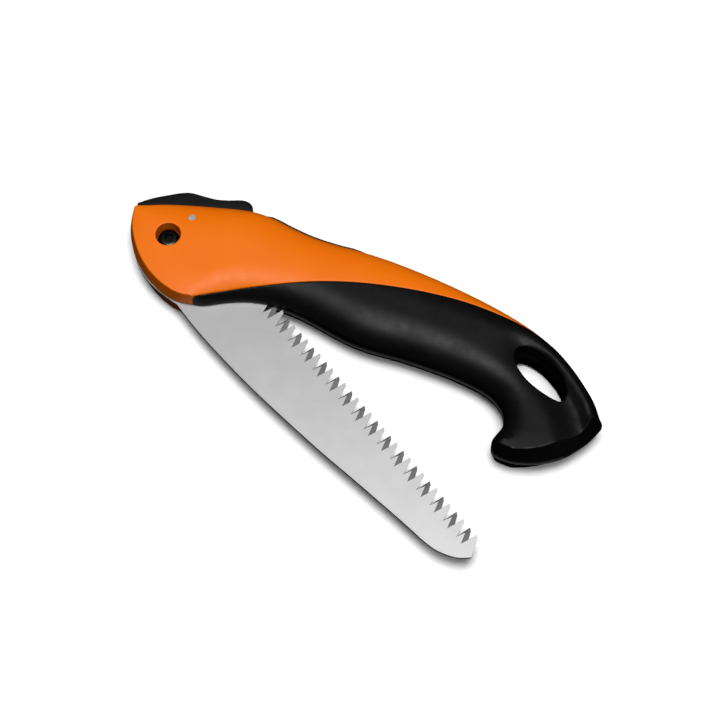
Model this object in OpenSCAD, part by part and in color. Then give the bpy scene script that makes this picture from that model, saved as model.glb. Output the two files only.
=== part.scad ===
// Folding pruning saw, lying on its right side with the blade part way out.
// X runs from the pivot to the butt, Y to the back of the handle, Z to the left side.
// The origin is on the pivot's axis, in the plane that the handle rests on.

/* [Handle] */
// Thickness over both halves
handle_t = 24; // [22:0.5:26]
// Width of the slot that the blade folds into
slot_w = 3.2; // [3:0.1:3.6]
// Shadow gap between an orange cover and its black grip
seam_gap = 0.3; // [0.1:0.1:0.5]
// How far the back frame stands proud of the covers
frame_proud = 1.5; // [0:0.1:1.6]

/* [Blade] */
// Thickness of the blade
blade_t = 1.4; // [1:0.1:1.6]
// Distance from tooth to tooth
tooth_pitch = 4.56; // [4.4:0.02:4.6]
// Number of teeth
tooth_count = 35; // [30:1:35]
// Depth of the deeper gullets
tooth_depth = 8; // [6:0.2:8]
// Turn from the rest pose to the folded one
fold_angle = 18.6; // [17:0.1:18.6]
// Turn from the rest pose to the fully open one
open_angle = 125.7; // [120:0.1:125.7]

/* [Pivot] */
// Diameter of the pivot bolt's shank
bolt_d = 5; // [4:0.5:5]
// Outer diameter of the bush that the blade turns on
bush_d = 8; // [7:0.5:8]
// Diameter of the bolt's round head
bolt_head_d = 9.4; // [9:0.1:10.4]
// Diameter of the recess for the head and for the nut
recess_d = 11.6; // [11.2:0.1:12.6]
// Size of the bolt's hexagon socket across its flats
socket_af = 4; // [3:0.5:5]
// Outer diameter of the thrust washers
washer_d = 17; // [14:1:18]

/* [Lock] */
// Diameter of the lever's pin
pin_d = 3.2; // [3:0.1:3.4]
// Width of the lock lever
lever_w = 8; // [7:0.5:8]
// Radius of the tang's round part, which the pawl rides on
tang_r = 11.6; // [11:0.1:11.7]

/* [Screws] */
// Diameter of the body screws' shanks
screw_d = 3; // [2.5:0.5:3.5]
// Diameter of the body screws' heads
screw_head_d = 5.6; // [5:0.2:6]

/* [Hidden] */
$fn = 64;

mid_z = handle_t / 2;
half_t = handle_t / 2;
slot_half = slot_w / 2;
run_gap = 0.05;
side_gap = 0.3;
blade_angle = -27.6;
tooth_line = 20.1;
last_tooth_x = 195.4;
first_tooth_x = last_tooth_x - (tooth_count - 1) * tooth_pitch;
pin_at = [6, 12.4];
pawl_angle = 100;
step_angle = 234.7;
notch_depth = 1.3;
slot_end_r = 204.6;
slot_end_top = -3.2;
slot_end_low = -6.6;

// Height of the full outline in each half, and the inset of the raised panel above it
shoulder_h = half_t - 3;
panel_inset = 2.4;

function lerp_spline(a, b, c, d, t) =
    0.5 * (2 * b + (c - a) * t + (2 * a - 5 * b + 4 * c - d) * t * t
    + (3 * b - a - 3 * c + d) * t * t * t);
// A smooth curve through the points, with the last point left for the next curve
function smooth(p, n = 4) = let (k = len(p) - 1)
    [for (i = [0 : k - 1], j = [0 : n - 1])
        lerp_spline(p[max(i - 1, 0)], p[i], p[i + 1], p[min(i + 2, k)], j / n)];
function smooth_loop(p, n = 3) = let (k = len(p))
    [for (i = [0 : k - 1], j = [0 : n - 1])
        lerp_spline(p[(i + k - 1) % k], p[i], p[(i + 1) % k], p[(i + 2) % k], j / n)];
function unit(v) = v / norm(v);
function turned(v) = [-v[1], v[0]];
// The closed outline moved inwards; it runs counter-clockwise
function inset(p, d) = let (k = len(p))
    [for (i = [0 : k - 1]) p[i] + d * turned(unit(p[(i + 1) % k] - p[(i + k - 1) % k]))];
function polar(r, a) = [r * cos(a), r * sin(a)];
function arc(r, a, b, n) = [for (i = [0 : n]) polar(r, a + (b - a) * i / n)];
function spin(p, a) = [p[0] * cos(a) - p[1] * sin(a), p[0] * sin(a) + p[1] * cos(a)];

front_curve = [[-22.2, 9.2], [-21.9, 5.5], [-18.6, -2.6], [-12.7, -10.8], [-5.2, -17.6],
    [3.2, -22.3], [10.8, -24.7], [16.8, -25], [22.6, -23.8]];
belly_curve = [[22.6, -23.8], [28.1, -22.2], [37.3, -16.4], [47.1, -11.9], [57.9, -9.5],
    [69.6, -9.2], [82.1, -10.6], [94.6, -12.1], [106.2, -11.8], [120, -10], [139.8, -8.9],
    [151.5, -9.2], [158, -9.8], [164, -11.3], [168.9, -14.2], [172.3, -18.3], [173.6, -23.2],
    [172.4, -28.2], [171.9, -31.2], [173, -34.4]];
foot_curve = [[173, -34.4], [175.5, -35.8], [180.3, -36], [185.4, -35.1], [195, -30.9],
    [203.6, -23.8], [210.2, -13.6], [213.2, -5.4]];
back_curve = [[213.2, -5.4], [213.3, -4.2], [211.4, -2.4], [207.1, 2.5], [202.1, 6.9],
    [194, 13], [186.5, 17.6], [179.3, 21.2], [166, 25.7], [147.2, 29.2], [122.7, 31.4],
    [99, 31.8], [81.5, 30.7], [70.2, 29.2], [58.5, 28.5], [48, 29.1], [39.7, 30], [31, 29.9],
    [22.6, 28.1], [11.8, 24.6], [1.3, 21], [-9, 16.7], [-17, 12.6], [-22.2, 9.2]];
outline = concat(smooth(front_curve), smooth(belly_curve), smooth(foot_curve),
    smooth(back_curve));
// The panel's outline keeps only the points that lie well apart
corners = concat(front_curve, belly_curve, foot_curve, back_curve);
spread = [for (i = [0 : len(corners) - 1])
    if (norm(corners[i] - corners[(i + 1) % len(corners)]) > 3.8) corners[i]];
panel = smooth_loop(inset(spread, panel_inset));

hole_curve = [[166.3, 7.4], [168.2, 4.5], [171.4, 1.6], [175.4, -0.9], [180.2, -2.7],
    [185.5, -3.9], [190, -4.3], [192.8, -4], [194.1, -2.2], [193.6, 1.5], [191.1, 5.2],
    [187.2, 8.8], [181, 12.4], [175.6, 14.1], [170.6, 14.6], [167.4, 13.6], [165.9, 11.2],
    [166.3, 7.4]];

// Edge between the orange covers and the black grips
seam_curve = [[21.6, -24.6], [26.6, -20.7], [32, -16.7], [38.4, -12.3], [45.7, -8], [60, -0.5],
    [74.6, 6.5], [89.6, 12.4], [105.2, 17.1], [121.2, 20.9], [137.8, 23.4], [155, 24],
    [168, 23.4], [176, 22.4]];

// Where the lever and its pocket lie between the covers
lever_curve = [[-22.3, 11.9], [-17.2, 16.9], [-11.2, 21.4], [-5.6, 25.2],
    [-1.5, 26.9], [4.2, 27.6], [10, 28.4], [15.3, 30.2], [20.3, 32.5], [23, 33.2],
    [25.8, 32.7], [27.6, 31], [28.2, 28.6]];
lever_under = [[27.8, 25.6], [22, 23.6], [13, 21.4], [9.4, 15.4], [9.6, 11.4], [7.2, 9.2],
    [3.8, 9.7], [2.2, 13.4], [-4.6, 14], [-11.6, 13], [-20, 9.6],
    [-21.3, 10]];
pocket = [[-26, 8.6], [-19.6, 8.6], [-11.4, 12.2], [-4.6, 13.2], [1, 12.6], [2.6, 8.9],
    [6.6, 7.9], [10.8, 10.6], [11.6, 14.6], [15.4, 19.2], [33, 19.2], [33, 40], [-26, 40]];

// Blade points in the blade's own frame: X along the tooth line, teeth towards +Y
spine_curve = [[26.4, -15.7], [46.9, -16.2], [76.7, -14.6], [102.3, -11.8], [124.2, -8.9],
    [142.6, -5.9], [168.6, -1.9], [184.8, 0.3], [192.2, 2.6], [198.4, 6.6], [202, 11.4]];
// The tang's lower edge, in the handle's frame at rest, from its step to the spine
tang_curve = [[-9.9, -14.1], [-6.9, -16.8], [-1.2, -20.6], [4, -23], [8.8, -24.5],
    [13.2, -25.6], [16.2, -26.3]];

// Areas on the two sides of the seam, reaching well past the handle
seam_start = seam_curve[0];
seam_end = seam_curve[len(seam_curve) - 1];
beyond = 250;
module area_above_seam(gap) {
    polygon(concat([for (q = smooth(seam_curve)) q + [0, gap]],
        [seam_end + [0, gap], [seam_end[0], beyond], [-beyond, beyond], [-beyond, -beyond],
        [seam_start[0], -beyond]]));
}
module area_below_seam(gap) {
    polygon(concat([for (q = smooth(seam_curve)) q - [0, gap]],
        [seam_end - [0, gap], [seam_end[0], beyond], [beyond, beyond], [beyond, -beyond],
        [seam_start[0], -beyond]]));
}

// One half of the handle, above the middle plane: the full outline, then a raised panel
module half_shell() {
    translate([0, 0, slot_half]) linear_extrude(shoulder_h - slot_half) polygon(outline);
    translate([0, 0, slot_half]) linear_extrude(half_t - slot_half) polygon(panel);
}
module hang_hole() {
    translate([0, 0, -half_t - 1])
        linear_extrude(handle_t + 2)
            polygon(smooth(hole_curve));
}
module lever_pocket() {
    translate([0, 0, -lever_w / 2 - side_gap])
        linear_extrude(lever_w + 2 * side_gap)
            polygon(pocket);
}
// Centres of the screws that clamp the two halves onto the back frame
screw_at = [[44, 22.6], [96, 24.6], [146, 17], [206.6, -6.6]];
module at_screws() {
    for (p = screw_at)
        translate([p[0], p[1], 0])
            children();
}
// Short dowels that line the frame up with the halves
dowel_at = [[70, 22], [122, 26]];
module at_dowels() {
    for (p = dowel_at)
        translate([p[0], p[1], 0])
            children();
}
module pin_hole(d, h) {
    translate([pin_at[0], pin_at[1], -h / 2])
        cylinder(d = d, h = h);
}

head_top = 7.4;
head_h = 3;
head_washer_t = 0.6;
head_edge = 0.5;
socket_depth = 2.2;
left_floor = head_top - head_h - head_washer_t;
right_floor = -3.8;
spring_washer_t = 0.9;
spring_washer_d = 9;
nut_h = 4;
nut_af = 8;
dowel_d = 3;
dowel_l = 9;
screw_end = 8;
screw_key_af = 2.5;
screw_seat = 5;
screw_head_h = 2.6;
bolt_end = -9.6;

module left_bores() {
    translate([0, 0, left_floor]) cylinder(d = recess_d, h = half_t);
    cylinder(d = bush_d + 2 * run_gap, h = half_t);
    pin_hole(pin_d + 2 * run_gap, handle_t + 2);
    lever_pocket();
    at_screws() cylinder(d = insert_d, h = slot_half + insert_l);
    at_screws() cylinder(d = screw_d, h = screw_end + 0.5);
    at_dowels() cylinder(d = dowel_d, h = dowel_l / 2 + 0.2);
}
module right_bores() {
    translate([0, 0, -half_t]) cylinder(d = recess_d, h = half_t + right_floor);
    translate([0, 0, -half_t]) cylinder(d = bush_d + 2 * run_gap, h = half_t);
    pin_hole(pin_d + 2 * run_gap, handle_t + 2);
    lever_pocket();
    at_screws() translate([0, 0, -half_t]) cylinder(d = screw_d + 0.4, h = half_t);
    at_screws() translate([0, 0, -half_t]) cylinder(d = screw_head_d + 0.6, h = screw_seat + 0.2);
    at_dowels() translate([0, 0, -dowel_l / 2 - 0.2]) cylinder(d = dowel_d, h = dowel_l / 2 + 0.3);
}

module left_cover() {
    color([0.93, 0.42, 0.05]) up() difference() {
        intersection() {
            half_shell();
            linear_extrude(half_t) area_above_seam(seam_gap / 2);
        }
        left_bores();
    }
}
module right_cover() {
    color([0.93, 0.42, 0.05]) up() difference() {
        mirror([0, 0, 1]) intersection() {
            half_shell();
            linear_extrude(half_t) area_above_seam(seam_gap / 2);
        }
        right_bores();
    }
}
module left_grip() {
    color([0.07, 0.07, 0.08]) up() difference() {
        intersection() {
            half_shell();
            linear_extrude(half_t) area_below_seam(seam_gap / 2);
        }
        left_bores();
        hang_hole();
    }
}
module right_grip() {
    color([0.07, 0.07, 0.08]) up() difference() {
        mirror([0, 0, 1]) intersection() {
            half_shell();
            linear_extrude(half_t) area_below_seam(seam_gap / 2);
        }
        right_bores();
        hang_hole();
    }
}
module up() {
    translate([0, 0, mid_z]) children();
}

// The folded tooth line, at a clearance above the tooth tips
folded_angle = blade_angle + fold_angle;
function ceiling_y(x, gap) = (tooth_line + gap) / cos(folded_angle) + x * tan(folded_angle);
function back_part(x) = [for (q = smooth(back_curve)) if (q[0] > x) q];
// The proud edge rises behind the lever and falls away again along the back
function proud_share(x) = max(0, min(1, (x - 32) / 5, (89 - x) / 9));
module back_frame() {
    color([0.06, 0.06, 0.07]) up() difference() {
        translate([0, 0, -slot_half]) linear_extrude(slot_w) difference() {
            polygon(concat(
                [for (q = back_part(33)) q + [0, frame_proud * proud_share(q[0])]],
                [[33.4, 21.4], [36, ceiling_y(36, 2)]],
                [for (x = [60 : 30 : 180]) [x, ceiling_y(x, 1.6)]],
                arc(slot_end_r, slot_end_top, slot_end_low, 6),
                [[204.2, -23.2], [210.2, -13.6]]));
            polygon(smooth(hole_curve));
            // Slit for the root of the lever's leaf spring
            translate([33, leaf_curve[0][1] - 0.03]) square([5.6, leaf_t + 0.06]);
        }
        at_screws() translate([0, 0, -half_t]) cylinder(d = screw_d + 0.2, h = handle_t);
        at_dowels() translate([0, 0, -half_t]) cylinder(d = dowel_d, h = handle_t);
    }
}

root_edge = 17;
step_blade = step_angle - blade_angle;
fold_notch = pawl_angle - fold_angle - blade_angle;
open_notch = pawl_angle + open_angle - blade_angle;
notch_half = 9;
fold_shoulder = 65.2;
shallow_share = 0.65;
// One tooth: the gullet before it, cut to two depths in turn, its tip and its shoulder
function tooth(i) = let (x = first_tooth_x + i * tooth_pitch,
        depth = i % 2 == 1 ? tooth_depth : tooth_depth * shallow_share)
    [[x - 0.4, tooth_line - depth], [x, tooth_line], [x + 1.65, tooth_line - 1]];
module blade_outline() {
    polygon(concat(
        [polar(tang_r, step_blade)],
        arc(tang_r - notch_depth, open_notch + notch_half, open_notch - notch_half, 6),
        arc(tang_r, open_notch - notch_half, fold_notch + notch_half, 36),
        arc(tang_r - notch_depth, fold_notch + notch_half, fold_notch - notch_half, 6),
        arc(tang_r, fold_notch - notch_half, fold_shoulder, 6),
        [[7.85, root_edge], [first_tooth_x - 6, root_edge]],
        [for (i = [0 : tooth_count - 1]) each tooth(i)],
        [for (i = [len(spine_curve) - 1 : -1 : 0]) each i == 0 ? [] :
            [for (j = [0 : 3]) lerp_spline(
                spine_curve[min(i + 1, len(spine_curve) - 1)], spine_curve[i],
                spine_curve[i - 1], spine_curve[max(i - 2, 0)], j / 4)]],
        [for (i = [len(tang_curve) - 1 : -1 : 0]) spin(tang_curve[i], -blade_angle)]));
}
module blade() {
    color([0.72, 0.72, 0.73]) up() rotate([0, 0, blade_angle]) difference() {
        translate([0, 0, -blade_t / 2]) linear_extrude(blade_t) blade_outline();
        translate([0, 0, -5]) cylinder(d = bush_d + 2 * run_gap, h = 10);
    }
}

module ring(d_out, d_in, z_low, z_high) {
    up() translate([0, 0, z_low]) difference() {
        cylinder(d = d_out, h = z_high - z_low);
        translate([0, 0, -1]) cylinder(d = d_in, h = z_high - z_low + 2);
    }
}
module pivot_bush() {
    color([0.66, 0.66, 0.68]) ring(bush_d, bolt_d + 0.1, right_floor, left_floor);
}
module left_thrust_washer() {
    color([0.75, 0.62, 0.3]) ring(washer_d, bush_d + 0.2, blade_t / 2 + run_gap, slot_half);
}
module right_thrust_washer() {
    color([0.75, 0.62, 0.3]) ring(washer_d, bush_d + 0.2, -slot_half, -blade_t / 2 - run_gap);
}
module bolt_washer() {
    color([0.12, 0.12, 0.12])
        ring(recess_d - 0.6, bolt_d + 0.3, left_floor, left_floor + head_washer_t);
}
module pivot_bolt() {
    color([0.05, 0.05, 0.05]) up() difference() {
        union() {
            translate([0, 0, head_top - head_h]) cylinder(d = bolt_head_d, h = head_h - head_edge);
            translate([0, 0, head_top - head_edge])
                cylinder(d1 = bolt_head_d, d2 = bolt_head_d - 2 * head_edge, h = head_edge);
            translate([0, 0, bolt_end]) cylinder(d = bolt_d, h = head_top - head_h - bolt_end);
        }
        translate([0, 0, head_top - socket_depth])
            cylinder(d = socket_af / cos(30), h = head_h, $fn = 6);
    }
}
module spring_washer() {
    color([0.6, 0.6, 0.62]) difference() {
        ring(spring_washer_d, bolt_d + 0.3, right_floor - spring_washer_t, right_floor);
        up() translate([3.6, 0, right_floor - 0.5]) rotate([0, 0, 20])
            cube([3.4, 0.9, 3], center = true);
    }
}
module pivot_nut() {
    nut_top = right_floor - spring_washer_t;
    color([0.6, 0.6, 0.62]) up() difference() {
        translate([0, 0, nut_top - nut_h]) cylinder(d = nut_af / cos(30), h = nut_h, $fn = 6);
        translate([0, 0, nut_top - nut_h - 1]) cylinder(d = bolt_d, h = nut_h + 2);
    }
}

pin_l = 19.6;
pawl_w = 3;
pawl_gap = 0.12;
pawl_root = tang_r + 5.6;
groove_r = tang_r + 0.7;
module lock_lever() {
    color([0.1, 0.1, 0.1]) up() difference() {
        translate([0, 0, -lever_w / 2]) linear_extrude(lever_w)
            polygon(concat(smooth(lever_curve, 3), [[28.2, 28.6]], lever_under));
        pin_hole(pin_d + 2 * run_gap, handle_t);
        // Groove that the opened blade's spine and the round tang pass through
        translate([0, 0, -slot_half]) linear_extrude(slot_w)
            polygon(concat([[-26, 8], [-26, 0], [30, 0], [30, 15.5], [16, 17.4]],
                [polar(20.6, 60)], arc(groove_r, 60, 98, 6),
                [[-4.6, 16.4], [-9.4, 15.8], [-15.6, 14.1], [-21.6, 10.6]]));
        pawl_shape();
    }
}
module pawl_shape() {
    rotate([0, 0, pawl_angle - 90]) translate([-pawl_w / 2, tang_r + pawl_gap, -slot_half + 0.4])
        cube([pawl_w, pawl_root - tang_r - pawl_gap, slot_w - 0.8]);
}
module lock_pawl() {
    color([0.6, 0.6, 0.62]) up() pawl_shape();
}
module lever_pin() {
    color([0.8, 0.8, 0.82]) up() pin_hole(pin_d, pin_l);
}
// A bent leaf: its root sits in a slit of the frame, its free end bears on the lever
leaf_t = 0.5;
leaf_curve = [[38.4, 20], [30, 20], [24, 20.6], [17.2, 21.85]];
module lever_spring() {
    color([0.6, 0.6, 0.62]) up() translate([0, 0, 0.1 - slot_half])
        linear_extrude(slot_w - 0.2)
            polygon(concat(leaf_curve,
                [for (i = [len(leaf_curve) - 1 : -1 : 0]) leaf_curve[i] + [0, leaf_t]]));
}
insert_d = 4.6;
insert_l = 5.4;
module screw_inserts() {
    color([0.75, 0.62, 0.3]) up() at_screws() translate([0, 0, slot_half])
        difference() {
            cylinder(d = insert_d, h = insert_l);
            translate([0, 0, -1]) cylinder(d = screw_d, h = insert_l + 2);
        }
}
module frame_dowels() {
    color([0.6, 0.6, 0.62]) up()
        at_dowels() translate([0, 0, -dowel_l / 2]) cylinder(d = dowel_d, h = dowel_l);
}
module body_screws() {
    color([0.2, 0.2, 0.2]) up() at_screws() difference() {
        union() {
            translate([0, 0, screw_seat + 0.2 - screw_head_h - half_t])
                cylinder(d = screw_head_d, h = screw_head_h);
            translate([0, 0, screw_seat - half_t])
                cylinder(d = screw_d, h = half_t - screw_seat + screw_end);
        }
        translate([0, 0, 2 - half_t]) cylinder(d = screw_key_af / cos(30), h = 2.2, $fn = 6);
    }
}

blade();
left_cover();
right_cover();
left_grip();
right_grip();
back_frame();
pivot_bolt();
bolt_washer();
pivot_bush();
left_thrust_washer();
right_thrust_washer();
spring_washer();
pivot_nut();
lock_lever();
lock_pawl();
lever_pin();
lever_spring();
frame_dowels();
screw_inserts();
body_screws();
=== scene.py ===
"""Looks of a folding pruning saw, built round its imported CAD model.

Lengths are in millimetres in the CAD frame's X and Y, with heights from the handle's
middle plane, until place() turns them into metres.
"""

import math

import bmesh
import bpy
import numpy as np
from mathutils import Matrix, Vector
from mathutils.geometry import delaunay_2d_cdt
from mathutils.kdtree import KDTree


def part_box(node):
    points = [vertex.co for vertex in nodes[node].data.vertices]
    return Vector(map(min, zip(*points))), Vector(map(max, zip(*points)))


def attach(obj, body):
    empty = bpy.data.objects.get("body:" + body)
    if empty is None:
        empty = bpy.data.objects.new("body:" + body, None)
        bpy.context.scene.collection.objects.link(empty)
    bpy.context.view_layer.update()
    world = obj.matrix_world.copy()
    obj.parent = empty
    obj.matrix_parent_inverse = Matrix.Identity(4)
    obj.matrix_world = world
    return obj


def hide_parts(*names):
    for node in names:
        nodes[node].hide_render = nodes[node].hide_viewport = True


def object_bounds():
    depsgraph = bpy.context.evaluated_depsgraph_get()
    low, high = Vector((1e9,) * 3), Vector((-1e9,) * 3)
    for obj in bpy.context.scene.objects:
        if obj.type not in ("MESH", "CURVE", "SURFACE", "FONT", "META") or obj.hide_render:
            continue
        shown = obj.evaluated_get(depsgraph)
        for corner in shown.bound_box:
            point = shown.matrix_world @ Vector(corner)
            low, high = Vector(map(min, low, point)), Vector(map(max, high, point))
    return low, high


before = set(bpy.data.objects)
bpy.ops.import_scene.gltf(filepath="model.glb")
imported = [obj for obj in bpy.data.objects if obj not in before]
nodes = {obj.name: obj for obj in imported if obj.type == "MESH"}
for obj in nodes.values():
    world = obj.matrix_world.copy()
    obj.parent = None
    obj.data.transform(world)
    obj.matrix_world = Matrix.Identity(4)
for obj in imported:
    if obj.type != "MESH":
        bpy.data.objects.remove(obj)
cad_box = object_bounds()
MM = 0.001

# ---------------------------------------------------------------- driving sizes
mid_z = (cad_box[0].z + cad_box[1].z) / 2 / MM
half_t = (cad_box[1].z - cad_box[0].z) / 2 / MM
blade_low, blade_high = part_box("blade")
blade_half = (blade_high.z - blade_low.z) / 2 / MM
frame_low, frame_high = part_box("back_frame")
slot_half = (frame_high.z - frame_low.z) / 2 / MM
lever_low, lever_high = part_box("lock_lever")
lever_half = (lever_high.z - lever_low.z) / 2 / MM
bolt_low, bolt_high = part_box("pivot_bolt")
bolt_head_r = (bolt_high.x - bolt_low.x) / 2 / MM
bolt_top = bolt_high.z / MM - mid_z
pin_low, pin_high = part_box("lever_pin")
pin_r = (pin_high.x - pin_low.x) / 2 / MM
pin_at = ((pin_high + pin_low) / 2 / MM).xy
washer_low, washer_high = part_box("bolt_washer")
bush_low, bush_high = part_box("pivot_bush")
run_gap = 0.05
side_gap = 0.3
left_floor = washer_low.z / MM - mid_z
right_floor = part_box("spring_washer")[1].z / MM - mid_z
recess_r = (washer_high.x - washer_low.x) / 2 / MM + side_gap
bore_r = (bush_high.x - bush_low.x) / 2 / MM + run_gap
seam_half_gap = 0.08

front_curve = [(-22.2, 9.2), (-21.9, 5.5), (-18.6, -2.6), (-12.7, -10.8), (-5.2, -17.6),
               (3.2, -22.3), (10.8, -24.7), (16.8, -25), (22.6, -23.8)]
belly_curve = [(22.6, -23.8), (28.1, -22.2), (37.3, -16.4), (47.1, -11.9), (57.9, -9.5),
               (69.6, -9.2), (82.1, -10.6), (94.6, -12.1), (106.2, -11.8), (120, -10),
               (139.8, -8.9), (151.5, -9.2), (158, -9.8), (164, -11.3), (168.9, -14.2),
               (172.3, -18.3), (173.6, -23.2), (172.4, -28.2), (171.9, -31.2), (173, -34.4)]
foot_curve = [(173, -34.4), (175.5, -35.8), (180.3, -36), (185.4, -35.1), (195, -30.9),
              (203.6, -23.8), (210.2, -13.6), (213.2, -5.4)]
back_curve = [(213.2, -5.4), (213.3, -4.2), (211.4, -2.4), (207.1, 2.5), (202.1, 6.9),
              (194, 13), (186.5, 17.6), (179.3, 21.2), (166, 25.7), (147.2, 29.2),
              (122.7, 31.4), (99, 31.8), (81.5, 30.7), (70.2, 29.2), (58.5, 28.5), (48, 29.1),
              (39.7, 30), (31, 29.9), (22.6, 28.1), (11.8, 24.6), (1.3, 21), (-9, 16.7),
              (-17, 12.6), (-22.2, 9.2)]
hole_curve = [(166.3, 7.4), (168.2, 4.5), (171.4, 1.6), (175.4, -0.9), (180.2, -2.7),
              (185.5, -3.9), (190, -4.3), (192.8, -4), (194.1, -2.2), (193.6, 1.5),
              (191.1, 5.2), (187.2, 8.8), (181, 12.4), (175.6, 14.1), (170.6, 14.6),
              (167.4, 13.6), (165.9, 11.2), (166.3, 7.4)]
seam_curve = [(21.6, -24.6), (26.6, -20.7), (32, -16.7), (38.4, -12.3), (45.7, -8),
              (60, -0.5), (74.6, 6.5), (89.6, 12.4), (105.2, 17.1), (121.2, 20.9),
              (137.8, 23.4), (155, 24), (168, 23.4), (176, 22.4)]
pocket = [(-26, 8.6), (-19.6, 8.6), (-11.4, 12.2), (-4.6, 13.2), (1, 12.6), (2.6, 8.9),
          (6.6, 7.9), (10.8, 10.6), (11.6, 14.6), (15.4, 19.2), (33, 19.2), (33, 40),
          (-26, 40)]
screw_at = [(44, 22.6), (96, 24.6), (146, 17), (206.6, -6.6)]
screw_hole_r = 3.1
screw_floor = -6.8
screw_r = 1.7

# How the outer surface leaves the outline: (point on the outline, how much of a drafted
# wall it is, the wall's lean, how far the rounding reaches, the crown's fall at the wall,
# how softly the wall turns into the crown)
EDGES = [
    ((-22.2, 9.2), 0.85, 0.19, 14, 1.4, 1.2),
    ((-12.7, -10.8), 1.0, 0.19, 15, 1.6, 0.8),
    ((10.8, -24.7), 1.0, 0.13, 16, 1.7, 0.6),
    ((22.6, -23.8), 0.95, 0.04, 15, 1.4, 0.5),
    ((28.1, -22.2), 0.4, 0.12, 12, 1, 1),
    ((37.3, -16.4), 0.0, 0.2, 14, 1, 1),
    ((69.6, -9.2), 0.0, 0.2, 17, 1, 1),
    ((106.2, -11.8), 0.0, 0.2, 19, 1, 1),
    ((139.8, -8.9), 0.0, 0.2, 17, 1, 1),
    ((158, -9.8), 0.0, 0.2, 14, 1, 1),
    ((172.3, -18.3), 0.0, 0.2, 11, 1, 1),
    ((172.4, -28.2), 0.1, 0.2, 9, 0.8, 0.5),
    ((175.5, -35.8), 1.0, 0.22, 10, 0.5, 0.35),
    ((185.4, -35.1), 1.0, 0.24, 10, 0.3, 0.3),
    ((203.6, -23.8), 1.0, 0.48, 10, 0.2, 0.2),
    ((212.2, -8), 1.0, 0.42, 10, 0.4, 0.3),
    ((213.3, -4.2), 0.6, 0.3, 9, 0.6, 0.6),
    ((207.1, 2.5), 0.0, 0.2, 6, 1, 1),
    ((186.5, 17.6), 0.0, 0.2, 6, 1, 1),
    ((166, 25.7), 0.0, 0.2, 10, 1, 1),
    ((122.7, 31.4), 0.0, 0.2, 18, 1, 1),
    ((70.2, 29), 0.0, 0.2, 22, 1, 1),
    ((31, 28.7), 0.0, 0.2, 22, 1, 1),
    ((1.3, 21), 0.0, 0.2, 20, 1, 1),
    ((-17, 12.6), 0.5, 0.3, 12, 1.2, 1.4),
]
# Height of the crest over the middle plane, along X
CREST = [(-25, 10.3), (0, 10.9), (30, 11.5), (60, 11.8), (100, 11.9), (140, 11.8),
         (165, 11.5), (190, 11.7), (215, 11.8)]
ROUNDNESS = 2.15
# Height of the shells' outer edge above their flat inner face
LIP = 0.3
# The hollow between the rounded back and the foot: its depth, the distances from the back
# where it begins and has begun, those over which it dies away, and the same along X
HOLLOW_DEPTH = 3
HOLLOW_START, HOLLOW_RISE = 4, 7
HOLLOW_END, HOLLOW_FALL, HOLLOW_LOSS = 12, 13, 0.85
HOLLOW_X, HOLLOW_X_RISE = 152, 30
# How far the shells' edges at the seam and round the holes are broken, and how far in
SEAM_BREAK = 0.22
BREAK_REACH = 0.4
# The surface's points: rings beside the outline, rings round the seam and the holes, the
# range and sides of the crease under a drafted wall, and a grid over the rest
RING_DISTANCES = [0.06, 0.18, 0.36, 0.6, 0.95, 1.35, 1.8, 2.4, 3.2, 4.2, 5.5, 7.2, 9.2]
FEATURE_DISTANCES = [0.1, 0.22, 0.4, 0.9]
CREASE_DEPTHS = (0.2, 6.5, 0.1)
CREASE_SIDES = (0, -0.3, 0.3, -0.7, 0.7)
GRID_X = (-24, 215, 1.8)
GRID_Y = (-38, 34, 1.6)
MERGE_DISTANCE = 0.004
SHARP_ANGLE = 32


# ---------------------------------------------------------------- plane geometry
def smooth(points, per_span=6):
    """A smooth curve through the points, with the last one left for the next curve."""
    p = np.array(points, float)
    last = len(p) - 1
    out = []
    for i in range(last):
        a, b, c, d = p[max(i - 1, 0)], p[i], p[i + 1], p[min(i + 2, last)]
        for t in np.arange(per_span) / per_span:
            out.append(0.5 * (2 * b + (c - a) * t + (2 * a - 5 * b + 4 * c - d) * t**2
                              + (3 * b - a - 3 * c + d) * t**3))
    return np.array(out)


def even(points, step, closed=True):
    """The polyline again, with points about a step apart."""
    p = np.vstack([points, points[:1]]) if closed else np.array(points, float)
    length = np.concatenate([[0], np.cumsum(np.linalg.norm(np.diff(p, axis=0), axis=1))])
    count = max(int(round(length[-1] / step)), 3)
    at = np.linspace(0, length[-1], count, endpoint=False) if closed \
        else np.linspace(0, length[-1], count + 1)
    return np.stack([np.interp(at, length, p[:, k]) for k in (0, 1)], axis=1)


def circle(centre, radius, count=48):
    turn = np.arange(count) * 2 * math.pi / count
    return np.stack([centre[0] + radius * np.cos(turn), centre[1] + radius * np.sin(turn)], 1)


def distance(points, line, closed=True):
    """Distance from each point to a polyline, and where along it the nearest place is."""
    a = np.array(line, float)
    b = np.roll(a, -1, axis=0) if closed else a[1:]
    a = a if closed else a[:-1]
    d = b - a
    best, where = [], []
    for chunk in np.array_split(points, max(len(points) // 400, 1)):
        v = chunk[:, None, :] - a[None]
        t = np.clip((v * d).sum(2) / (d * d).sum(1), 0, 1)
        gap = np.linalg.norm(v - t[..., None] * d, axis=2)
        i = gap.argmin(1)
        best.append(gap[np.arange(len(chunk)), i])
        where.append(i + t[np.arange(len(chunk)), i])
    return np.concatenate(best), np.concatenate(where)


def inside(points, loop):
    x, y = points[:, 0][:, None], points[:, 1][:, None]
    ax, ay = loop[:, 0], loop[:, 1]
    bx, by = np.roll(ax, -1), np.roll(ay, -1)
    crosses = (ay > y) != (by > y)
    at = ax + (y - ay) * (bx - ax) / np.where(by == ay, 1e-12, by - ay)
    return (crosses & (x < at)).sum(1) % 2 == 1


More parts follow.
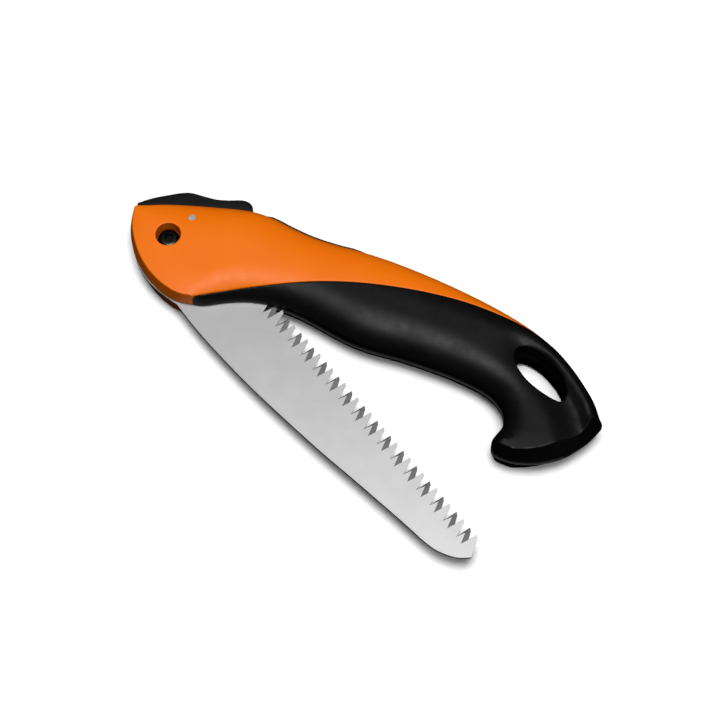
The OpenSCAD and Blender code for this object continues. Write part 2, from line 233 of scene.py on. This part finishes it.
def normals(line, closed=True):
    """Unit normals to the left of a polyline."""
    if closed:
        d = np.roll(line, -1, axis=0) - np.roll(line, 1, axis=0)
    else:
        d = np.gradient(line, axis=0)
    d /= np.linalg.norm(d, axis=1)[:, None]
    return np.stack([-d[:, 1], d[:, 0]], 1)


def ease(t):
    t = np.clip(t, 0, 1)
    return t * t * (3 - 2 * t)


outline = even(np.vstack([smooth(c) for c in (front_curve, belly_curve, foot_curve,
                                              back_curve)]), 1.0)
back_line = smooth(back_curve)
hang_hole = even(smooth(hole_curve), 0.9)
seam_line = even(smooth(seam_curve + [(190, 19)]), 1.0, closed=False)


def along_outline():
    """EDGES spread over the outline's points."""
    stations = distance(np.array([e[0] for e in EDGES], float), outline)[1]
    order = np.argsort(stations)
    values = np.array([e[1:] for e in EDGES], float)[order]
    at = stations[order]
    n = len(outline)
    at = np.concatenate([[at[-1] - n], at, [at[0] + n]])
    values = np.vstack([values[-1:], values, values[:1]])
    return [np.interp(np.arange(n), at, values[:, k]) for k in range(values.shape[1])]


edge_values = along_outline()


def soft_min(a, b, k):
    h = np.clip(0.5 + 0.5 * (b - a) / k, 0, 1)
    return b * (1 - h) + a * h - k * h * (1 - h)


def surface(points):
    """Height of the handle's outer surface over the middle plane."""
    d, where = distance(points, outline)
    n = len(outline)
    wall, lean, reach, fall, soft = [
        np.interp(where, np.arange(n + 1), np.append(v, v[0])) for v in edge_values]
    x = points[:, 0]
    crest = np.interp(x, [c[0] for c in CREST], [c[1] for c in CREST])
    from_back = distance(points, back_line, closed=False)[0]
    hollow = ease((from_back - HOLLOW_START) / HOLLOW_RISE) \
        * (1 - HOLLOW_LOSS * ease((from_back - HOLLOW_END) / HOLLOW_FALL))
    crest = crest - HOLLOW_DEPTH * hollow * ease((x - HOLLOW_X) / HOLLOW_X_RISE)
    lip = slot_half + LIP
    near = 1 - np.clip(d / reach, 0, 1)
    rounded = lip + (crest - lip) * (1 - near**ROUNDNESS) ** (1 / ROUNDNESS)
    flat = crest - fall * near**2
    walled = soft_min(lip + d / lean, flat, soft)
    return rounded * (1 - wall) + walled * wall


# ---------------------------------------------------------------- meshes
def place(points, height):
    """Millimetres in the plane and a height over the middle plane, as metres."""
    h = np.broadcast_to(height, len(points))
    return np.column_stack([points[:, 0], points[:, 1], h + mid_z]) * MM


def band(a, b, count, flip=False):
    """The faces between two rings of points that start at a and at b."""
    sides = [(i, (i + 1) % count) for i in range(count)]
    if flip:
        return [[a + i, b + i, b + j, a + j] for i, j in sides]
    return [[a + i, a + j, b + j, b + i] for i, j in sides]


def new_object(name, verts, faces, body, sharp=SHARP_ANGLE):
    mesh = bpy.data.meshes.new(name)
    mesh.from_pydata([tuple(v) for v in verts], [], [tuple(f) for f in faces])
    bm = bmesh.new()
    bm.from_mesh(mesh)
    bmesh.ops.remove_doubles(bm, verts=bm.verts, dist=MERGE_DISTANCE * MM)
    bmesh.ops.recalc_face_normals(bm, faces=bm.faces)
    bm.to_mesh(mesh)
    bm.free()
    mesh.shade_smooth()
    mesh.set_sharp_from_angle(angle=math.radians(sharp))
    obj = bpy.data.objects.new(name, mesh)
    bpy.context.scene.collection.objects.link(obj)
    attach(obj, body)
    return obj


def triangles(loops, extra):
    """Delaunay triangles inside the first loop and outside the others.

    The points come back as the loops' own, in order, and then the extra ones."""
    points = np.vstack(list(loops) + ([extra] if len(extra) else []))
    edges, start = [], 0
    for loop in loops:
        n = len(loop)
        edges += [(start + i, start + (i + 1) % n) for i in range(n)]
        start += n
    result = delaunay_2d_cdt([Vector(p) for p in points], edges, [], 0, 1e-7)
    if len(result[0]) != len(points):
        raise ValueError("two points of a surface fell together")
    back = {new: old[0] for new, old in enumerate(result[3])}
    tri = np.array([[back[i] for i in f] for f in result[2]])
    centre = points[tri].mean(1)
    keep = inside(centre, loops[0])
    for loop in loops[1:]:
        keep &= ~inside(centre, loop)
    return points, tri[keep]


def crease_rings():
    """Rings just beside the edge where a drafted wall turns into the crown."""
    inward = normals(outline)
    depths = np.arange(*CREASE_DEPTHS)
    heights = np.array([surface(outline + inward * d) for d in depths])
    bend = heights[:-2] - 2 * heights[1:-1] + heights[2:]
    crease = depths[1:-1][bend.argmin(0)]
    walled = edge_values[0] > 0.8
    around = np.arange(-3, 4)
    crease = np.mean([np.roll(crease, k) for k in around], axis=0)
    return [(outline + inward * (crease + side)[:, None])[walled]
            for side in CREASE_SIDES]


def scattered(domain, holes):
    """Points of the surface's rings and grid; a later one stays only where it has room."""
    wanted = [(ring, 0.8) for ring in crease_rings()]
    for d in RING_DISTANCES:
        ring = outline + normals(outline) * d
        gap = distance(ring, outline)[0]
        wanted.append((ring[np.abs(gap - d) < 0.02 + 0.06 * d], 0.45 * min(1, 0.1 + d)))
    for hole in holes:
        for d in FEATURE_DISTANCES:
            wanted.append((hole - normals(hole) * d, 0.3))
    for side in (-1, 1):
        for d in FEATURE_DISTANCES:
            across = side * normals(seam_line, closed=False)
            wanted.append((seam_line + across * (d + seam_half_gap), 0.3))
    grid = [(x + (GRID_X[2] / 2 if row % 2 else 0), y)
            for row, y in enumerate(np.arange(*GRID_Y)) for x in np.arange(*GRID_X)]
    wanted.append((np.array(grid), 1.1))
    fixed = np.vstack([domain] + list(holes))
    kept = []
    clear_of = [domain] + list(holes)
    for pts, spacing in wanted:
        pts = pts[inside(pts, domain)]
        for hole in holes:
            pts = pts[~inside(pts, hole)]
        if not len(pts):
            continue
        ok = np.ones(len(pts), bool)
        for loop in clear_of:
            ok &= distance(pts, loop)[0] > min(0.05, spacing * 0.5)
        pts = pts[ok]
        if not len(pts):
            continue
        tree = KDTree(len(fixed))
        for i, p in enumerate(fixed):
            tree.insert((p[0], p[1], 0), i)
        tree.balance()
        near = np.array([tree.find((p[0], p[1], 0))[2] for p in pts])
        pts = pts[near > spacing * (0.16 if spacing < 1 else 0.8)]
        kept.append(pts)
        fixed = np.vstack([fixed, pts])
    return np.vstack(kept)


def split_outline(above):
    """The loop of the cover, above the seam, or of the grip, below it."""
    side = 1 if above else -1
    line = seam_line + side * normals(seam_line, closed=False) * seam_half_gap
    within = inside(line, outline)
    first = np.argmax(within)
    last = len(within) - 1 - np.argmax(within[::-1])
    line = line[first:last + 1]
    _, starts = distance(line[:1], outline)
    _, ends = distance(line[-1:], outline)
    n = len(outline)
    a, b = starts[0], ends[0]

    def at(s):
        i = int(s) % n
        return outline[i] + (s % 1) * (outline[(i + 1) % n] - outline[i])

    if above:       # on from the seam's butt end, round the head, to the seam's start
        part = [i % n for i in range(int(b) + 1, int(a) + n + 1)]
        path = np.vstack([[at(b)], outline[part], [at(a)], line])
    else:
        part = list(range(int(a) + 1, int(b) + 1))
        path = np.vstack([[at(a)], outline[part], [at(b)], line[::-1]])
    keep = np.linalg.norm(path - np.roll(path, 1, axis=0), axis=1) > 0.12
    return path[keep]


def shell(name, above, left, holes):
    """A closed shell: crowned outside, drafted or rounded edges, flat inner face.

    A hole is (loop at the surface, rim's bevel, [(loop, height) down to the inner face])."""
    domain = split_outline(above)
    tops = [h[0] for h in holes]
    points, tri = triangles([domain] + tops, scattered(domain, tops))
    z = surface(points)
    seam_gap = distance(points, seam_line, closed=False)[0] - seam_half_gap
    z -= SEAM_BREAK * np.clip(1 - seam_gap / BREAK_REACH, 0, 1) ** 2
    for loop, bevel, _ in holes:
        z -= bevel * np.clip(1 - distance(points, loop)[0] / BREAK_REACH, 0, 1) ** 2
    verts = [place(points, z)]
    faces = [list(t) for t in tri]
    count = len(points)

    inner = [domain]
    inner_index = []
    start = len(domain)
    for loop, _, steps in holes:
        n = len(loop)
        top = start
        start += n
        for ring, height in steps:
            verts.append(place(ring, height))
            faces += band(top, count, n)
            top = count
            count += n
        inner.append(steps[-1][0])
        inner_index += range(top, top + n)
    _, flat_tri = triangles(inner, np.zeros((0, 2)))
    n = len(domain)
    verts.append(place(domain, slot_half))
    index = np.array(list(range(count, count + n)) + inner_index)
    faces += [list(index[t[::-1]]) for t in flat_tri]
    faces += band(0, count, n, flip=True)
    verts = np.vstack(verts)
    if not left:
        verts[:, 2] = 2 * mid_z * MM - verts[:, 2]
    return new_object(name, verts, faces, "handle")


def cut(obj, cutter):
    """Takes the cutter's solid away from the object, for good."""
    modifier = obj.modifiers.new("cut", "BOOLEAN")
    modifier.object = cutter
    modifier.operation = "DIFFERENCE"
    modifier.solver = "EXACT"
    bpy.context.view_layer.update()
    shape = bpy.data.meshes.new_from_object(
        obj.evaluated_get(bpy.context.evaluated_depsgraph_get()))
    obj.modifiers.clear()
    old = obj.data
    obj.data = shape
    bpy.data.meshes.remove(old)
    obj.data.shade_smooth()
    obj.data.set_sharp_from_angle(angle=math.radians(SHARP_ANGLE))
    bpy.data.objects.remove(cutter)


def prism(name, loop, low, high):
    """A plain solid to cut with, from the loop between two heights."""
    loop = np.array(loop, float)
    n = len(loop)
    verts = np.vstack([place(loop, low), place(loop, high)])
    faces = [list(range(n))[::-1], list(range(n, 2 * n))]
    faces += band(0, n, n)
    mesh = bpy.data.meshes.new(name)
    mesh.from_pydata([tuple(v) for v in verts], [], faces)
    obj = bpy.data.objects.new(name, mesh)
    bpy.context.scene.collection.objects.link(obj)
    return obj


# ---------------------------------------------------------------- handle shells
pin_loop = circle(pin_at, pin_r + run_gap, 28)
pin_hole = (pin_loop, 0.06, [(pin_loop, slot_half)])
recess = circle((0, 0), recess_r, 72)
bolt_bore = circle((0, 0), bore_r, 72)
left_recess = (recess, 0.22, [(recess, left_floor), (bolt_bore, left_floor),
                              (bolt_bore, slot_half)])
right_recess = (recess, 0.22, [(recess, -right_floor), (bolt_bore, -right_floor),
                               (bolt_bore, slot_half)])
hanging = (hang_hole, 0.3, [(hang_hole, slot_half)])


def screw_hole(at):
    """A counterbored hole in a right-hand shell."""
    wide, narrow = circle(at, screw_hole_r, 32), circle(at, screw_r, 32)
    return (wide, 0.15, [(wide, -screw_floor), (narrow, -screw_floor), (narrow, slot_half)])


def below_seam(at):
    gap, where = distance(np.array([at], float), seam_line, closed=False)
    i = min(int(where[0]), len(seam_line) - 2)
    side = normals(seam_line, closed=False)[i] @ (np.array(at) - seam_line[i])
    return side < 0


cover_screws = [screw_hole(at) for at in screw_at if not below_seam(at)]
grip_screws = [screw_hole(at) for at in screw_at if below_seam(at)]
left_cover = shell("left_cover_shell", True, True, [pin_hole, left_recess])
right_cover = shell("right_cover_shell", True, False, [pin_hole, right_recess] + cover_screws)
left_grip = shell("left_grip_shell", False, True, [hanging])
right_grip = shell("right_grip_shell", False, False, [hanging] + grip_screws)
for cover in (left_cover, right_cover):
    depth = lever_half + side_gap
    cut(cover, prism("lever_pocket", pocket, -depth, depth))
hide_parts("left_cover")
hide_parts("right_cover")
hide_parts("left_grip")
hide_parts("right_grip")

# ---------------------------------------------------------------- blade
blade_angle = math.radians(-27.6)
tang_r = 11.6
notch_r = tang_r - 1.3
# Turns round the tang of the step at its spine, the ends of its notches and its shoulder
step_at, low_notch_end = 262.3, 244.3
high_notch_start, high_notch_end = 118, 100
shoulder_at = 65.2
broken_edge = 0.12
tooth_line = 20.1
tooth_pitch = 4.56
last_tooth_x = 195.4
tooth_count = 35
deep_gullet = 8
shallow_gullet = 5.2
root_edge = 17
spine_curve = [(26.4, -15.7), (46.9, -16.2), (76.7, -14.6), (102.3, -11.8), (124.2, -8.9),
               (142.6, -5.9), (168.6, -1.9), (184.8, 0.3), (192.2, 2.6), (198.4, 6.6),
               (202, 11.4)]
tang_curve = [(-9.9, -14.1), (-6.9, -16.8), (-1.2, -20.6), (4, -23), (8.8, -24.5),
              (13.2, -25.6), (16.2, -26.3)]


def turned(points, angle):
    c, s = math.cos(angle), math.sin(angle)
    return np.array(points) @ np.array([[c, s], [-s, c]])


def arc(radius, start, end, count):
    turn = np.radians(np.linspace(start, end, count + 1))
    return np.stack([radius * np.cos(turn), radius * np.sin(turn)], 1)


def tooth_sides(i):
    """A tooth on the face where it is whole, and on the one where its edges are ground."""
    x = last_tooth_x - (tooth_count - 1 - i) * tooth_pitch
    depth = deep_gullet if i % 2 else shallow_gullet
    whole = [(x - 0.4, tooth_line - depth), (x, tooth_line), (x + 1.65, tooth_line - 1)]
    ground = [(x - 0.1, tooth_line - depth + 0.1), (x + 0.87, tooth_line - 3.5),
              (x + 3.6, tooth_line - 8.4)]
    return whole, ground


def saw_blade():
    """The blade as four loops: each face's, and the two below the faces' broken edges."""
    near, far = [], []
    for i in range(tooth_count):
        whole, ground = tooth_sides(i)
        near += ground if i % 2 else whole
        far += whole if i % 2 else ground
    spine = smooth(spine_curve, 4)[::-1]
    tip = np.array([spine_curve[-1]])
    tang = turned(smooth(tang_curve, 5)[::-1], -blade_angle)
    round_part = np.vstack([arc(tang_r, step_at, step_at, 0),
                            arc(notch_r, step_at, low_notch_end, 8),
                            arc(tang_r, low_notch_end, high_notch_start, 50),
                            arc(notch_r, high_notch_start, high_notch_end, 8),
                            arc(tang_r, high_notch_end, shoulder_at, 14)])
    shoulder = np.array([(7.85, root_edge), (24, root_edge)])
    body = np.vstack([tip, spine, tang, round_part, shoulder])
    whole_body = len(body)
    loops = []
    for face, teeth in ((1, near), (-1, far)):
        outer = np.vstack([body, teeth])
        inner = outer.copy()
        # The loops run clockwise, so the left normal points out of the blade
        inner[1:whole_body] -= normals(outer)[1:whole_body] * broken_edge
        loops.append((inner, face * blade_half))
        loops.append((outer, face * (blade_half - broken_edge)))
    near_cap, near_edge, far_cap, far_edge = loops
    bore = circle((0, 0), bore_r, 64)
    verts, faces, n = [], [], len(near_cap[0])
    for loop, height in (near_cap, near_edge, far_edge, far_cap):
        verts.append(place(turned(loop, blade_angle), height))
    for k in range(3):
        faces += band(k * n, (k + 1) * n, n, flip=True)
    start = 4 * n
    for height in (blade_half, -blade_half):
        verts.append(place(bore, height))
    m = len(bore)
    faces += band(start, start + m, m)
    for (loop, _), first, bore_first, flip in ((near_cap, 0, start, 1),
                                               (far_cap, 3 * n, start + m, -1)):
        _, tri = triangles([loop, bore], np.zeros((0, 2)))
        index = np.array(list(range(first, first + n)) + list(range(bore_first, bore_first + m)))
        faces += [list(index[t[::flip]]) for t in tri]
    return new_object("saw_blade", np.vstack(verts), faces, "blade", sharp=14)


def spin_body(name, profile, body, count=64, sharp=30):
    """A turned piece on the pivot's axis, from (radius, height) points, with flat ends."""
    verts, faces = [], []
    for radius, height in profile:
        verts.append(place(circle((0, 0), radius, count), height))
    rings = len(profile)
    for k in range(rings - 1):
        faces += band(k * count, (k + 1) * count, count)
    faces.append(list(range(count))[::-1])
    faces.append(list(range((rings - 1) * count, rings * count)))
    return new_object(name, np.vstack(verts), faces, body, sharp)


def bevelled_plate(name, loop, half, bevel, body):
    """A plate of the loop's outline whose edges are rounded by a bevel."""
    verts, faces, n = [], [], len(loop)
    inward = normals(loop)
    steps = [(1, 0), (0.62, 0.08), (0.3, 0.3), (0.08, 0.62), (0, 1)]
    levels = [(inset * bevel, half - drop * bevel) for inset, drop in steps]
    levels += [(inset, -height) for inset, height in levels[::-1]]
    for inset, height in levels:
        verts.append(place(loop + inward * inset, height))
    for k in range(len(levels) - 1):
        faces += band(k * n, (k + 1) * n, n, flip=True)
    for level, flip in ((0, 1), (len(levels) - 1, -1)):
        _, tri = triangles([loop + inward * levels[level][0]], np.zeros((0, 2)))
        faces += [[level * n + int(v) for v in t[::flip]] for t in tri]
    return new_object(name, np.vstack(verts), faces, body)


blade = saw_blade()
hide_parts("blade")

lever_curve = [(-22.3, 11.9), (-17.2, 16.9), (-11.2, 21.4), (-5.6, 25.2), (-1.5, 26.9),
               (4.2, 27.6), (10, 28.4), (15.3, 30.2), (20.3, 32.5), (23, 33.2),
               (25.8, 32.7), (27.6, 31), (28.2, 28.6)]
lever_under = [(28.2, 28.6), (27.8, 25.6), (22, 23.6), (13, 21.4), (9.4, 15.4), (9.6, 11.4),
               (7.2, 9.2), (3.8, 9.7), (2.2, 13.4), (-4.6, 14), (-11.6, 13), (-20, 9.6),
               (-21.3, 10)]
lever_loop = even(np.vstack([smooth(lever_curve, 8), lever_under])[::-1], 0.8)
lever_bevel = 0.55
lever = bevelled_plate("thumb_lever", lever_loop, lever_half, lever_bevel, "lever")
groove_r = tang_r + 0.7
groove = [(-26, 8), (-26, 0), (30, 0), (30, 15.5), (16, 17.7), (10.3, 18.1)] \
    + [tuple(p) for p in arc(groove_r, 60, 98, 8)] \
    + [(-4.6, 16.7), (-9.4, 16), (-15.6, 14.1), (-21.6, 10.6)]
cut(lever, prism("tang_groove", groove, -slot_half, slot_half))
cut(lever, prism("pin_bore", circle(pin_at, pin_r + run_gap, 32), -half_t, half_t))
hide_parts("lock_lever")

head_h = 3
shank_r = 2.5
socket_af = 4
socket_depth = 2.2
socket_turn = 0.3
# The head's rounding: how far in from its side, how far down from its top
HEAD_ROUNDING = [(0, 1.2), (0.12, 0.75), (0.42, 0.38), (0.9, 0.14), (1.6, 0.03), (2.6, 0)]
HEAD_CHAMFER = 0.15
bolt_end = bolt_low.z / MM - mid_z
head_low = bolt_top - head_h
bolt = spin_body("bolt_body", [
    (shank_r, bolt_end), (shank_r, head_low), (bolt_head_r - HEAD_CHAMFER, head_low),
    (bolt_head_r, head_low + HEAD_CHAMFER)]
    + [(bolt_head_r - inset, bolt_top - drop) for inset, drop in HEAD_ROUNDING], "handle")
hexagon = turned(circle((0, 0), socket_af / math.sqrt(3), 6), socket_turn)
cut(bolt, prism("socket", hexagon, bolt_top - socket_depth, bolt_top + 1))
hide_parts("pivot_bolt")

# ---------------------------------------------------------------- materials
class Shader:
    """A principled material whose colour, roughness and relief vary over the piece."""

    def __init__(self, name, colour, roughness, metallic=0.0, specular=0.5):
        self.material = bpy.data.materials.new(name)
        self.material.use_nodes = True
        self.tree = self.material.node_tree
        self.shader = self.tree.nodes["Principled BSDF"]
        self.colour = colour
        self.shader.inputs["Base Color"].default_value = (*colour, 1)
        self.shader.inputs["Roughness"].default_value = roughness
        self.shader.inputs["Metallic"].default_value = metallic
        self.shader.inputs["Specular IOR Level"].default_value = specular
        self.roughness = roughness
        self.where = self.tree.nodes.new("ShaderNodeTexCoord")

    def link(self, a, b):
        self.tree.links.new(a, b)

    def noise(self, scale, detail=3, stretch=(1, 1, 1), turn=0.0):
        """A noise over the piece's own place, stretched along an axis of its own frame."""
        mapping = self.tree.nodes.new("ShaderNodeMapping")
        mapping.inputs["Scale"].default_value = stretch
        mapping.inputs["Rotation"].default_value = (0, 0, turn)
        noise = self.tree.nodes.new("ShaderNodeTexNoise")
        noise.inputs["Scale"].default_value = scale
        noise.inputs["Detail"].default_value = detail
        self.link(self.where.outputs["Object"], mapping.inputs["Vector"])
        self.link(mapping.outputs["Vector"], noise.inputs["Vector"])
        return noise.outputs["Fac"]

    def spread(self, value, low, high, start=0.3, stop=0.7):
        ranges = self.tree.nodes.new("ShaderNodeMapRange")
        ranges.inputs["From Min"].default_value = start
        ranges.inputs["From Max"].default_value = stop
        ranges.inputs["To Min"].default_value = low
        ranges.inputs["To Max"].default_value = high
        self.link(value, ranges.inputs["Value"])
        return ranges.outputs["Result"]

    def vary_roughness(self, value, by):
        self.link(self.spread(value, self.roughness - by, self.roughness + by),
                  self.shader.inputs["Roughness"])

    def vary_colour(self, value, other, start=0.3, stop=0.7):
        ramp = self.tree.nodes.new("ShaderNodeValToRGB")
        ramp.color_ramp.elements[0].position = start
        ramp.color_ramp.elements[0].color = (*self.colour, 1)
        ramp.color_ramp.elements[1].position = stop
        ramp.color_ramp.elements[1].color = (*other, 1)
        self.link(value, ramp.inputs["Fac"])
        self.link(ramp.outputs["Color"], self.shader.inputs["Base Color"])

    def relief(self, *layers):
        """Bumps from (value, depth in millimetres) layers, one over the other."""
        last = None
        for value, depth in layers:
            bump = self.tree.nodes.new("ShaderNodeBump")
            bump.inputs["Strength"].default_value = 1
            bump.inputs["Distance"].default_value = depth * MM
            self.link(value, bump.inputs["Height"])
            if last is not None:
                self.link(last, bump.inputs["Normal"])
            last = bump.outputs["Normal"]
        self.link(last, self.shader.inputs["Normal"])


def moulded(name, colour, other, roughness, specular, grain):
    """Moulded plastic: slow flow marks, a fine texture and faint handling marks."""
    m = Shader(name, colour, roughness, specular=specular)
    m.vary_colour(m.noise(45, 2), other)
    m.vary_roughness(m.noise(240, 5), 0.05)
    m.relief((m.noise(2600, 2), grain), (m.noise(90, 1), grain * 3))
    return m.material


def metal(name, colour, other, roughness, stretch=(1, 1, 1), turn=0.0, lines=0.0015,
          spread=0.04, metallic=1.0):
    """Metal whose grinding or plating marks run along one way."""
    m = Shader(name, colour, roughness, metallic=metallic)
    marks = m.noise(900, 4, stretch, turn)
    m.vary_colour(m.noise(120, 4), other)
    m.vary_roughness(marks, spread)
    m.relief((marks, lines))
    return m.material


orange = moulded("orange_plastic", (0.72, 0.143, 0.001), (0.70, 0.135, 0.0008), 0.46, 0.18,
                 0.0006)
grip_black = moulded("grip_black", (0.0022, 0.0022, 0.0024), (0.003, 0.003, 0.0033), 0.38, 0.1,
                     0.0012)
frame_black = moulded("frame_black", (0.005, 0.005, 0.005), (0.007, 0.007, 0.007), 0.5, 0.2,
                      0.001)
lever_black = moulded("lever_black", (0.003, 0.003, 0.003), (0.0045, 0.0045, 0.0045), 0.4, 0.15,
                      0.001)
# Painted light: a lighter copy of the grip's black, for the lit faces inside the slot
painted_lit_slot_black = moulded("painted_lit_slot_black", (0.035, 0.035, 0.037), (0.042, 0.042, 0.044), 0.5, 0.3, 0.001)
steel = metal("ground_steel", (0.33, 0.33, 0.333), (0.31, 0.31, 0.313), 0.42, (0.06, 1, 1),
              -blade_angle, 0.0002, 0.015, 0.7)
bevel_steel = metal("ground_bevels", (0.22, 0.22, 0.225), (0.18, 0.18, 0.185), 0.42, (0.2, 1, 1),
                    -blade_angle, 0.0004, 0.04, 0.4)
oxide = metal("black_oxide", (0.014, 0.014, 0.015), (0.022, 0.021, 0.02), 0.24)
zinc = metal("zinc_plate", (0.72, 0.73, 0.75), (0.62, 0.64, 0.68), 0.26)
spring = metal("spring_temper", (0.30, 0.30, 0.32), (0.22, 0.23, 0.27), 0.32, (0.2, 1, 1))
bronze = metal("sintered_bronze", (0.52, 0.33, 0.13), (0.42, 0.26, 0.1), 0.4)


def paint(obj, material):
    obj.data.materials.clear()
    obj.data.materials.append(material)


FLAT_TOLERANCE = 0.01
BEVELS_FROM_X = 30
FACE_NORMAL = 0.97
for obj in (left_cover, right_cover):
    paint(obj, orange)
for obj in (left_grip, right_grip):
    paint(obj, grip_black)
    # Painted light: the flat faces beside the slot get a lighter copy of the black, standing in
    # for the light that reaches the slot's inner face
    obj.data.materials.append(painted_lit_slot_black)
    for face in obj.data.polygons:
        heights = [abs(obj.data.vertices[i].co.z / MM - mid_z) for i in face.vertices]
        if max(heights) < slot_half + FLAT_TOLERANCE:
            face.material_index = 1
paint(blade, steel)
blade.data.materials.append(bevel_steel)
bevels_from_y = tooth_line - deep_gullet - 1
for face in blade.data.polygons:
    x, y = turned([(face.center.x / MM, face.center.y / MM)], -blade_angle)[0]
    if x > BEVELS_FROM_X and y > bevels_from_y and abs(face.normal.z) < FACE_NORMAL:
        face.material_index = 1
paint(lever, lever_black)
paint(bolt, oxide)
CARRIED = {
    "back_frame": (frame_black, "black_frame"),
    "bolt_washer": (oxide, "black_steel"),
    "pivot_bush": (zinc, "zinc_steel"),
    "left_thrust_washer": (bronze, "bronze"),
    "right_thrust_washer": (bronze, "bronze"),
    "spring_washer": (zinc, "zinc_steel"),
    "pivot_nut": (zinc, "zinc_steel"),
    "lock_pawl": (spring, "spring_steel"),
    "lever_pin": (zinc, "zinc_steel"),
    "lever_spring": (spring, "spring_steel"),
    "frame_dowels": (zinc, "zinc_steel"),
    "screw_inserts": (bronze, "bronze"),
    "body_screws": (oxide, "black_steel"),
}
for name, (material, slot) in CARRIED.items():
    paint(nodes[name], material)

# ---------------------------------------------------------------- stage and camera
floor_size = 6
floor_mesh = bpy.data.meshes.new("floor")
corners = [(-floor_size, -floor_size, 0), (floor_size, -floor_size, 0),
           (floor_size, floor_size, 0), (-floor_size, floor_size, 0)]
floor_mesh.from_pydata(corners, [], [(0, 1, 2, 3)])
floor = bpy.data.objects.new("floor", floor_mesh)
bpy.context.scene.collection.objects.link(floor)
floor_material = bpy.data.materials.new("floor")
floor_material.use_nodes = True
floor_shader = floor_material.node_tree.nodes["Principled BSDF"]
floor_shader.inputs["Base Color"].default_value = (0.93, 0.93, 0.93, 1)
floor_shader.inputs["Roughness"].default_value = 0.9
floor_shader.inputs["Specular IOR Level"].default_value = 0
floor_mesh.materials.append(floor_material)
# The floor shows in no reflection and lights no underside
floor.visible_glossy = False
floor.visible_diffuse = False

CAMERA_AZIMUTH = math.radians(24)
CAMERA_ELEVATION = math.radians(65)
CAMERA_DISTANCE = 0.938
CAMERA_TARGET = Vector((0.09994, -0.01627, mid_z * MM))
back = Vector((math.sin(CAMERA_AZIMUTH) * math.cos(CAMERA_ELEVATION),
               -math.cos(CAMERA_AZIMUTH) * math.cos(CAMERA_ELEVATION),
               math.sin(CAMERA_ELEVATION)))
camera_data = bpy.data.cameras.new("camera")
camera_data.lens = 106.5
camera_data.sensor_width = 36
camera = bpy.data.objects.new("camera", camera_data)
bpy.context.scene.collection.objects.link(camera)
camera.location = CAMERA_TARGET + back * CAMERA_DISTANCE
camera.rotation_mode = "QUATERNION"
camera.rotation_quaternion = (-back).to_track_quat("-Z", "Y")
bpy.context.scene.camera = camera


def area_light(name, at, towards, size, power):
    data = bpy.data.lights.new(name, "AREA")
    data.shape = "RECTANGLE"
    data.size, data.size_y = size
    data.energy = power
    light = bpy.data.objects.new(name, data)
    light.location = at
    light.rotation_mode = "QUATERNION"
    light.rotation_quaternion = (Vector(towards) - Vector(at)).to_track_quat("-Z", "Y")
    bpy.context.scene.collection.objects.link(light)


area_light("key", (0.15, -0.15, 3.0), (0.1, 0, 0), (1.4, 1.4), 94)
area_light("fill", (0.97, -0.61, 1.06), (0.1, 0, 0), (0.5, 0.5), 4)


def studio():
    """A room that is bright overhead and dark towards the horizon."""
    world = bpy.data.worlds.new("studio")
    bpy.context.scene.world = world
    world.use_nodes = True
    tree = world.node_tree
    where = tree.nodes.new("ShaderNodeTexCoord")
    height = tree.nodes.new("ShaderNodeSeparateXYZ")
    ramp = tree.nodes.new("ShaderNodeValToRGB")
    tree.links.new(where.outputs["Generated"], height.inputs["Vector"])
    tree.links.new(height.outputs["Z"], ramp.inputs["Fac"])
    tree.links.new(ramp.outputs["Color"], tree.nodes["Background"].inputs["Color"])
    stops = ramp.color_ramp.elements
    stops[0].position, stops[0].color = 0.55, (0.0, 0.0, 0.0, 1)
    stops[1].position, stops[1].color = 1.0, (0.8, 0.8, 0.8, 1)
    for position, value in ((0.8, 0.1), (0.95, 0.5)):
        stops.new(position).color = (value, value, value, 1)
    tree.nodes["Background"].inputs["Strength"].default_value = 1.0


studio()
bpy.context.scene.view_settings.view_transform = "Standard"
